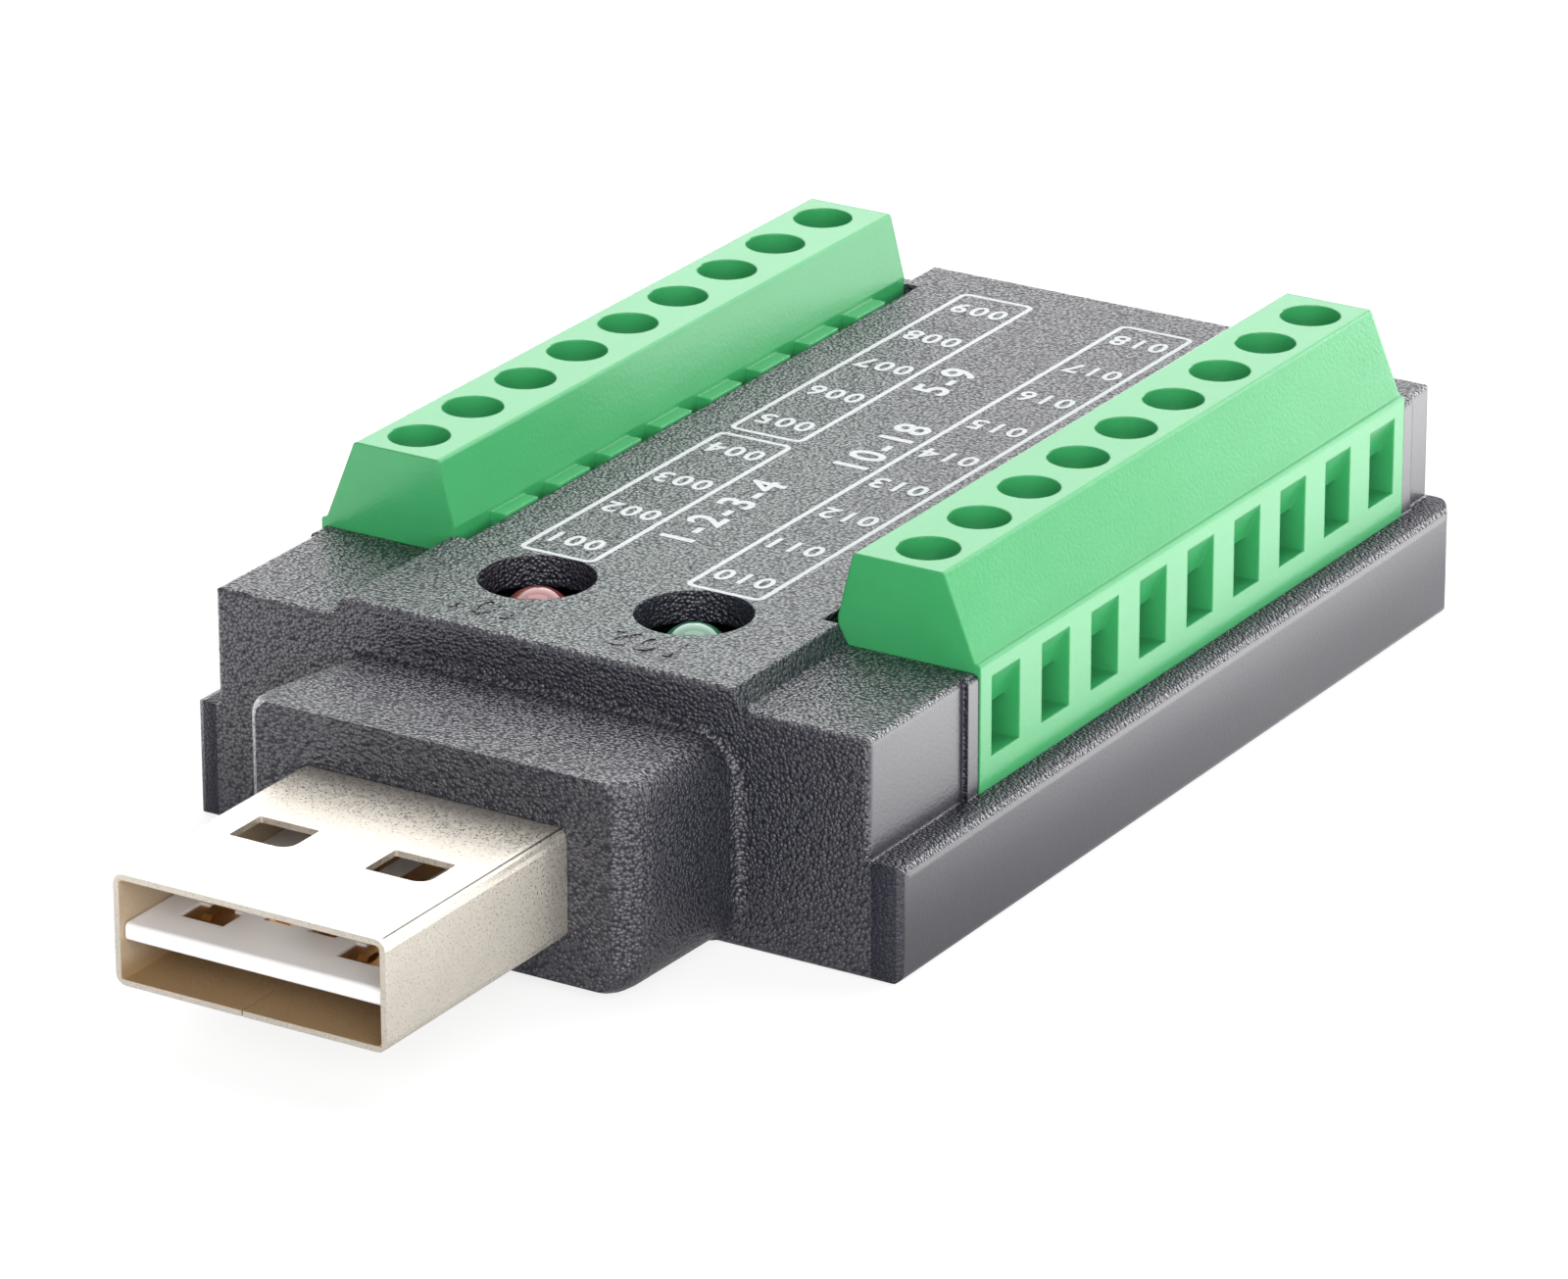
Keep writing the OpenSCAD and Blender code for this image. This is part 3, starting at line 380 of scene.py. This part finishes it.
def masked_board():
    """Glass-epoxy laminate under green solder mask, with copper tracks showing faintly beneath."""
    material, tree, place = new_material("glass_epoxy_green_mask")
    track_gap, relief = 3 * MM, 0.02 * MM
    tracks = add(tree, "TexBrick", {
        "Vector": place, "Scale": 1 / track_gap, "Mortar Size": 0.06,
        "Color1": linear("#000000"), "Color2": linear("#000000"), "Mortar": linear("#ffffff"),
    })
    color = add(tree, "Mix", {
        "Factor": tracks, "A": linear("#25684b"), "B": linear("#328a63"),
    }, data_type="RGBA")
    shade = add(tree, "BsdfPrincipled", {
        "Base Color": color, "IOR": 1.5,
        "Roughness": add(tree, "MapRange", {"Value": tracks, "To Min": 0.34, "To Max": 0.26}),
        "Normal": add(tree, "Bump", {"Height": tracks, "Distance": relief}),
    })
    add(tree, "OutputMaterial", {"Surface": shade})
    return material


def dress_all():
    """Gives every CAD node its material, and gives back the housing's for the marks on it."""
    abs_black = eroded_abs()

    # Epoxy, transfer moulded: matt and near black
    chip = moulded_plastic("epoxy_black_moulded", "#232324", "#2b2b2c", 0.5)
    # Polyester, moulded: white, with a soft even skin
    insulator = moulded_plastic("polyester_white_moulded", "#e6e5e6", "#efeff1", 0.35)
    # Titanate, fired: dull tan
    capacitor = moulded_plastic("titanate_tan_fired", "#a3845f", "#b39169", 0.45)
    # Glass, fired over ceramic: dark, with a soft gloss
    resistor = moulded_plastic("glass_black_fired", "#2c2c2f", "#353538", 0.35)

    # Bronze strip under a flash of gold: warm, and lined along the strip
    contact = drawn_metal("bronze_gold_flashed", "#a87a48", "#bd9058", 0.3)
    # Brass, tin plated: pale grey, and lined along the row
    bar = drawn_metal("brass_tin_plated", "#c5c5c2", "#d0d0cd", 0.32)
    # Alloy lid, nickel plated: warm and bright, and lined across
    lid = drawn_metal("alloy_lid_nickel_plated", "#d2cfc6", "#dcd9d1", 0.28, grain_axis=0)
    # Steel, turned and zinc plated: bright, and lined along the screw
    screw = drawn_metal("steel_zinc_plated", "#b9b9b5", "#c6c6c2", 0.3, grain_axis=2)
    # Steel sheet, folded and zinc plated: bright and slightly grey
    cage = drawn_metal("steel_sheet_zinc_plated", "#bfbfba", "#cbcbc6", 0.3)

    looks = {
        "upper_housing": abs_black, "bottom_cover": abs_black,
        "circuit_board": masked_board(),
        "usb_sleeve": nickel_sleeve(), "usb_insulator": insulator, "usb_contact": contact,
        "terminal_block": moulded_polyamide(), "contact_bars": bar,
        "screw": screw, "cage": cage,
        "power_lamp": cast_lens("epoxy_red_cast", "#7a2a2c", "#953236"),
        "data_lamp": cast_lens("epoxy_green_cast", "#1d6a4e", "#267f5c"),
        "bridge_chip": chip, "line_driver_chip": chip, "bus_driver_chip": chip,
        "crystal": lid, "chip_capacitors": capacitor, "chip_resistors": resistor,
    }
    for name, cad_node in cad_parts.items():
        material = next(look for start, look in looks.items() if name.startswith(start))
        for slot in cad_node.material_slots:
            slot.link = "OBJECT"
            slot.material = material
    return abs_black


# Print and marks on the panel

def carried_profile(path, profile):
    """A closed profile of (across, up) points carried round a closed path of (x, y) points.

    Each path point is moved along the mitre of its two neighbouring edges by the profile's across
    value and raised by its up value. The grid of path by profile points gives the faces.
    """
    path = np.asarray(path, float)
    profile = np.asarray(profile, float)
    count, ring = len(path), len(profile)
    before, after = path - np.roll(path, 1, 0), np.roll(path, -1, 0) - path
    before = before / np.linalg.norm(before, axis=1, keepdims=True)
    after = after / np.linalg.norm(after, axis=1, keepdims=True)
    along = before + after
    along = along / np.linalg.norm(along, axis=1, keepdims=True)
    mitre = np.stack((-along[:, 1], along[:, 0]), 1)
    stretch = 1 / np.sum(mitre * np.stack((-before[:, 1], before[:, 0]), 1), axis=1)
    reach = (mitre * stretch[:, None])[:, None, :] * profile[None, :, :1]
    points = np.empty((count, ring, 3))
    points[:, :, :2] = path[:, None, :] + reach
    points[:, :, 2] = profile[None, :, 1]
    here, there = np.meshgrid(np.arange(count), np.arange(ring), indexing="ij")
    next_path, next_ring = (here + 1) % count, (there + 1) % ring
    faces = np.stack((
        here * ring + there, next_path * ring + there,
        next_path * ring + next_ring, here * ring + next_ring,
    ), -1).reshape(-1, 4).tolist()
    return points.reshape(-1, 3), faces


def gather(name, meshes, material):
    """Joins meshes into one piece of the module with outward faces."""
    shape = bmesh.new()
    for mesh in meshes:
        shape.from_mesh(mesh)
    bmesh.ops.recalc_face_normals(shape, faces=shape.faces)
    joined = bpy.data.meshes.new(name)
    shape.to_mesh(joined)
    shape.free()
    joined.materials.append(material)
    piece = bpy.data.objects.new(name, joined)
    bpy.context.collection.objects.link(piece)
    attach(piece, "module")


def ink_frame(low, high, line_w):
    """Printed rectangle: a flat ribbon of ink with eased edges, lying on the panel.

    Its path is a quarter circle of points at each corner, and its profile is a trapezium that is
    one ink thickness high, with edges that lean in by as much.
    """
    corner_r, corner_points = 0.3 * MM, 5
    turn = np.radians(np.linspace(0, 90, corner_points))
    quarter = np.stack((np.cos(turn), np.sin(turn)), 1) * corner_r
    corners = [
        ((high[0], high[1]), (1, 1), 1), ((low[0], high[1]), (-1, 1), -1),
        ((low[0], low[1]), (-1, -1), 1), ((high[0], low[1]), (1, -1), -1),
    ]
    path = np.vstack([
        np.array(place) + (quarter[::order] - corner_r) * sign for place, sign, order in corners
    ])
    half = line_w / 2
    profile = [(-half, 0), (half, 0), (half - INK_THICK, INK_THICK), (INK_THICK - half, INK_THICK)]
    points, faces = carried_profile(path, profile)
    points[:, 2] += panel_top
    mesh = bpy.data.meshes.new("line")
    mesh.from_pydata(points, [], faces)
    return mesh


def digits(text, height, place, turn, thick):
    """A plain number as a thin mesh on the panel.

    Each point is taken from the middle of the number's box, scaled so that the box is as high as
    asked, turned about Z and moved to its place. Its back lies on the panel, and its front is one
    thickness above it.
    """
    curve = bpy.data.curves.new("digits", "FONT")
    curve.body = text
    curve.extrude = 0.1
    curve.offset = 0.02
    curve.space_character = 1.2
    source = bpy.data.objects.new("digits", curve)
    bpy.context.collection.objects.link(source)
    solid = source.evaluated_get(bpy.context.evaluated_depsgraph_get())
    mesh = bpy.data.meshes.new_from_object(solid)
    bpy.data.objects.remove(source)
    points = np.empty(len(mesh.vertices) * 3)
    mesh.vertices.foreach_get("co", points)
    points = points.reshape(-1, 3)
    low, high = points.min(0), points.max(0)
    flat = (points[:, :2] - (low + high)[:2] / 2) * height / (high[1] - low[1])
    cos, sin = math.cos(math.radians(turn)), math.sin(math.radians(turn))
    moved = np.empty_like(points)
    moved[:, 0] = flat[:, 0] * cos - flat[:, 1] * sin + place[0]
    moved[:, 1] = flat[:, 0] * sin + flat[:, 1] * cos + place[1]
    moved[:, 2] = panel_top + np.where(points[:, 2] > 0, thick, 0)
    mesh.vertices.foreach_set("co", moved.ravel())
    return mesh


def build_legend():
    """White print on the panel: a ruled box beside each group of terminals, with plain numbers."""
    line_w, digit_h, group_h = 0.22 * MM, 1.12 * MM, 1.6 * MM
    box_w, margin, spacing = 3.3 * MM, 1.6 * MM, 3.87 * MM
    left_x, right_x = -4.3 * MM, 3.4 * MM
    left_group_x, right_group_x = -1.18 * MM, 0.5 * MM
    first_y = row_front + 1.95 * MM
    ways_a_row, sideways, upside_down = 9, 90, 180
    boxes, numbers = [], []
    for middle, first, last in [(left_x, 1, 4), (left_x, 5, 9), (right_x, 1, 9)]:
        low = (middle - box_w / 2, first_y + (first - 1) * spacing - margin)
        high = (middle + box_w / 2, first_y + (last - 1) * spacing + margin)
        boxes.append(ink_frame(low, high, line_w))
        for way in range(first, last + 1):
            shown = way if middle < 0 else way + ways_a_row
            place = (middle, first_y + (way - 1) * spacing)
            numbers.append(digits(f"{shown:03d}", digit_h, place, upside_down, INK_THICK))
    groups = [
        ("1-2-3-4", (left_group_x, 2.7 * MM)),
        ("10-18", (right_group_x, 12.1 * MM)),
        ("5-9", (left_group_x, 19.8 * MM)),
    ]
    for text, place in groups:
        numbers.append(digits(text, group_h, place, sideways, INK_THICK))
    ink = printed_ink()
    gather("legend_boxes", boxes, ink)
    gather("legend_numbers", numbers, ink)


def build_lamp_numbers(material):
    """Small raised numbers in front of the lamps, moulded with the panel."""
    digit_h, raised, ahead, upside_down = 1.5 * MM, 0.04 * MM, 3.45 * MM, 180
    lamp_x = (lamp_low[0] + lamp_high[0]) / 2
    number_y = (lamp_low[1] + lamp_high[1]) / 2 - ahead
    numbers = [
        digits(text, digit_h, (x, number_y), upside_down, raised)
        for text, x in (("101", lamp_x), ("102", -lamp_x))
    ]
    gather("lamp_numbers", numbers, material)


# Stage, light and camera

def build_floor():
    """A plain pale sweep. The camera and the gloss see it near white, and it keeps a faint shadow.

    What the gloss mirrors of it is a painted glow: dimmer in front of the object as painted shadow,
    and brighter out to both sides as painted light, clear of the object's own shade.
    """
    floor_size, floor_drop = 6, 0.02 * MM
    front_y, rear_y, front_glow, rear_glow = -10 * MM, 20 * MM, 0.34, 0.78
    side_glows = [(5 * MM, 17 * MM, 1.35), (19 * MM, 25 * MM, 4.0)]
    camera_glow = 0.8
    bpy.ops.mesh.primitive_plane_add(size=floor_size)
    floor = bpy.context.object
    floor.name = "floor"
    floor.location.z = -floor_drop
    material, tree, place = new_material("floor_white")
    kinds = ("Camera", "Glossy", "Transmission")
    rays = {kind: add(tree, "LightPath", out=f"Is {kind} Ray") for kind in kinds}
    mirrored = add(tree, "Math", {0: rays["Glossy"], 1: rays["Transmission"]}, operation="MAXIMUM")
    seen = add(tree, "Math", {0: mirrored, 1: rays["Camera"]}, operation="MAXIMUM")
    along = add(tree, "SeparateXYZ", {"Vector": place}, out="Y")
    across = add(tree, "SeparateXYZ", {"Vector": place}, out="X")
    across = add(tree, "Math", {0: across}, operation="ABSOLUTE")
    # Painted glow for the gloss: painted shadow in front, painted light out to the sides
    glow = add(tree, "MapRange", {
        "Value": along, "From Min": front_y, "From Max": rear_y,
        "To Min": front_glow, "To Max": rear_glow,
    })
    for near, far, rise in side_glows:
        beside = add(tree, "MapRange", {
            "Value": across, "From Min": near, "From Max": far, "To Min": 1.0, "To Max": rise,
        })
        glow = add(tree, "Math", {0: glow, 1: beside}, operation="MULTIPLY")
    glow = add(tree, "Mix", {
        "Factor": rays["Camera"], "A": glow, "B": camera_glow,
    }, data_type="FLOAT")
    plain = add(tree, "BsdfDiffuse", {"Color": linear("#ededed")})
    soft = add(tree, "BsdfDiffuse", {"Color": linear("#868686")})
    light = add(tree, "Emission", {"Strength": glow})
    shown = add(tree, "AddShader", {0: soft, 1: light})
    add(tree, "OutputMaterial", {"Surface": add(tree, "MixShader", {0: seen, 1: plain, 2: shown})})
    floor.data.materials.append(material)


def build_world():
    """A white tent that darkens towards its roof and is a little brighter to the right."""
    roof_fade, right_lift, camera_white = 0.9, 0.1, 1.0
    world = bpy.data.worlds.new("tent")
    bpy.context.scene.world = world
    world.use_nodes = True
    tree = world.node_tree
    tree.nodes.clear()
    direction = add(tree, "TexCoord", out="Generated")
    side = {axis: add(tree, "SeparateXYZ", {"Vector": direction}, out=axis) for axis in "XZ"}
    height = add(tree, "Math", {0: side["Z"], 1: 0.0}, operation="MAXIMUM")
    tent = add(tree, "Math", {0: height, 1: -roof_fade, 2: 1.0}, operation="MULTIPLY_ADD")
    tent = add(tree, "Math", {0: side["X"], 1: right_lift, 2: tent}, operation="MULTIPLY_ADD")
    seen = add(tree, "LightPath", out="Is Camera Ray")
    strength = add(tree, "Mix", {"Factor": seen, "A": tent, "B": camera_white}, data_type="FLOAT")
    add(tree, "OutputWorld", {"Surface": add(tree, "Background", {"Strength": strength})})


def add_softbox(name, place, aim, size, power):
    """A rectangular softbox aimed at a point, which the camera doesn't see. Metres and watts."""
    light = bpy.data.lights.new(name, "AREA")
    light.shape = "RECTANGLE"
    light.size, light.size_y = size
    light.energy = power
    lamp = bpy.data.objects.new(name, light)
    bpy.context.collection.objects.link(lamp)
    lamp.visible_camera = False
    lamp.location = place
    lamp.rotation_euler = (Vector(aim) - Vector(place)).to_track_quat("-Z", "Y").to_euler()


def build_lights():
    """Four softboxes.

    A large one leans over the object from behind, and a small one hangs over it. One stands low
    beside it, where the slopes of the terminal blocks mirror it, and a wide one fills in from the
    front right.
    """
    middle, low_beside = (0, 0, 0), (0.21, 0, 0.14)
    add_softbox("back_box", place=(-0.16, 0.48, 0.5), aim=middle, size=(1.4, 0.94), power=10.0)
    add_softbox("over_box", place=(-0.12, 0.2, 0.8), aim=middle, size=(0.6, 0.4), power=1.3)
    add_softbox("edge_box", place=(0.21, 0.6, 0.14), aim=low_beside, size=(0.35, 0.3), power=2.3)
    add_softbox("fill_box", place=(0.5, -0.58, 0.36), aim=middle, size=(1.2, 0.6), power=8.6)


def build_camera():
    """The photograph's own camera, fitted to the plug's standard size."""
    focal_px, sensor_mm = 8680.3, 36.0
    azimuth, elevation, roll = (math.radians(angle) for angle in (31.803, 22.046, -0.190))
    target, distance = Vector((-0.363, 5.783, 4.204)) * MM, 340.70 * MM
    nearest, furthest = 0.01, 20
    back = Vector((
        math.sin(azimuth) * math.cos(elevation),
        -math.cos(azimuth) * math.cos(elevation),
        math.sin(elevation),
    ))
    level = Vector((math.cos(azimuth), math.sin(azimuth), 0))
    rise = back.cross(level)
    right = level * math.cos(roll) + rise * math.sin(roll)
    up = back.cross(right)
    data = bpy.data.cameras.new("camera")
    data.sensor_width = sensor_mm
    data.sensor_fit = "HORIZONTAL"
    data.lens = focal_px * sensor_mm / PHOTO_WIDTH
    data.clip_start, data.clip_end = nearest, furthest
    camera = bpy.data.objects.new("camera", data)
    bpy.context.collection.objects.link(camera)
    turn = Matrix((right, up, back)).transposed().to_4x4()
    camera.matrix_world = Matrix.Translation(target + back * distance) @ turn
    bpy.context.scene.camera = camera


build_camera()
build_floor()
build_world()
build_lights()
build_legend()
build_lamp_numbers(dress_all())

bpy.context.scene.view_settings.view_transform = "Standard"
